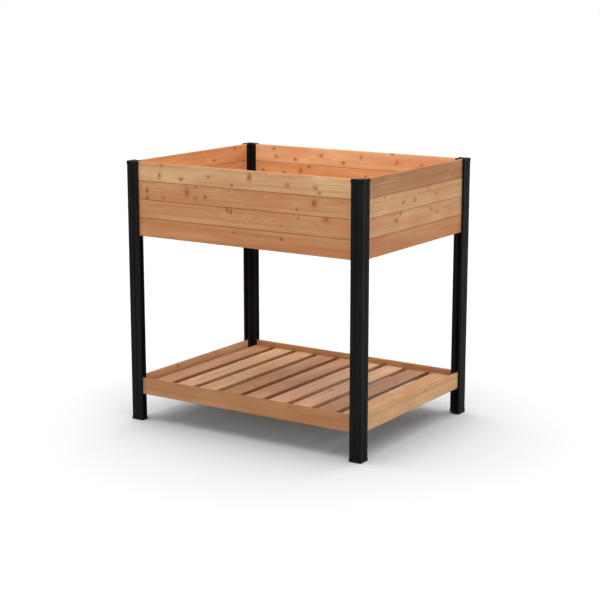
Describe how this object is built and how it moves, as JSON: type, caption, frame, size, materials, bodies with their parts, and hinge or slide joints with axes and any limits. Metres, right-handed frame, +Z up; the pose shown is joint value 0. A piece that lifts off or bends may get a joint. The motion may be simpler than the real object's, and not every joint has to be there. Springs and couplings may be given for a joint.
{
  "type": "raised planter on legs",
  "caption": "Rectangular wooden planting bed held at waist height by slotted metal corner posts, with a slatted storage shelf near the ground.",
  "frame": {"origin": "middle of the footprint, on the ground under the feet", "axes": "+Z up, X along the width, front towards -Y"},
  "size_m": [0.9424, 0.7244, 0.9144],
  "materials": {
    "cedar_board": "planed cedar, clear and matte",
    "cedar_rail": "planed cedar, slightly darker",
    "cedar_slat": "planed cedar, clear and matte",
    "cedar_frame": "sawn cedar",
    "post_black": "satin black powder coat on an aluminium extrusion",
    "cap_black": "moulded black plastic, fine grain",
    "screw_steel": "zinc plated",
    "screw_black": "black oxide screws with a satin sheen"
  },
  "bodies": {
    "root": {"post_front_left": "post_black", "post_front_right": "post_black", "post_back_right": "post_black", "post_back_left": "post_black", "cap_front_left": "cap_black", "cap_front_right": "cap_black", "cap_back_right": "cap_black", "cap_back_left": "cap_black", "foot_front_left": "cap_black", "foot_front_right": "cap_black", "foot_back_right": "cap_black", "foot_back_left": "cap_black", "front_board_1": "cedar_board", "front_board_2": "cedar_board", "front_board_3": "cedar_board", "front_board_4": "cedar_board", "right_board_1": "cedar_board", "right_board_2": "cedar_board", "right_board_3": "cedar_board", "right_board_4": "cedar_board", "back_board_1": "cedar_board", "back_board_2": "cedar_board", "back_board_3": "cedar_board", "back_board_4": "cedar_board", "left_board_1": "cedar_board", "left_board_2": "cedar_board", "left_board_3": "cedar_board", "left_board_4": "cedar_board", "shelf_rail_front": "cedar_rail", "shelf_rail_right": "cedar_rail", "shelf_rail_back": "cedar_rail", "shelf_rail_left": "cedar_rail", "shelf_slat_1": "cedar_slat", "shelf_slat_2": "cedar_slat", "shelf_slat_3": "cedar_slat", "shelf_slat_4": "cedar_slat", "shelf_slat_5": "cedar_slat", "shelf_slat_6": "cedar_slat", "shelf_slat_7": "cedar_slat", "shelf_slat_8": "cedar_slat", "shelf_slat_9": "cedar_slat", "shelf_cleat_front": "cedar_frame", "shelf_cleat_back": "cedar_frame", "bed_cleat_front": "cedar_frame", "bed_cleat_back": "cedar_frame", "bed_joist_1": "cedar_frame", "bed_joist_2": "cedar_frame", "bed_joist_3": "cedar_frame", "bed_floor_slat_1": "cedar_frame", "bed_floor_slat_2": "cedar_frame", "bed_floor_slat_3": "cedar_frame", "bed_floor_slat_4": "cedar_frame", "bed_floor_slat_5": "cedar_frame", "bed_floor_slat_6": "cedar_frame", "bed_floor_slat_7": "cedar_frame", "board_screws": "screw_black", "cleat_screws": "screw_steel", "slat_screws": "screw_steel", "joist_screws": "screw_steel"}
  },
  "joints": []
}
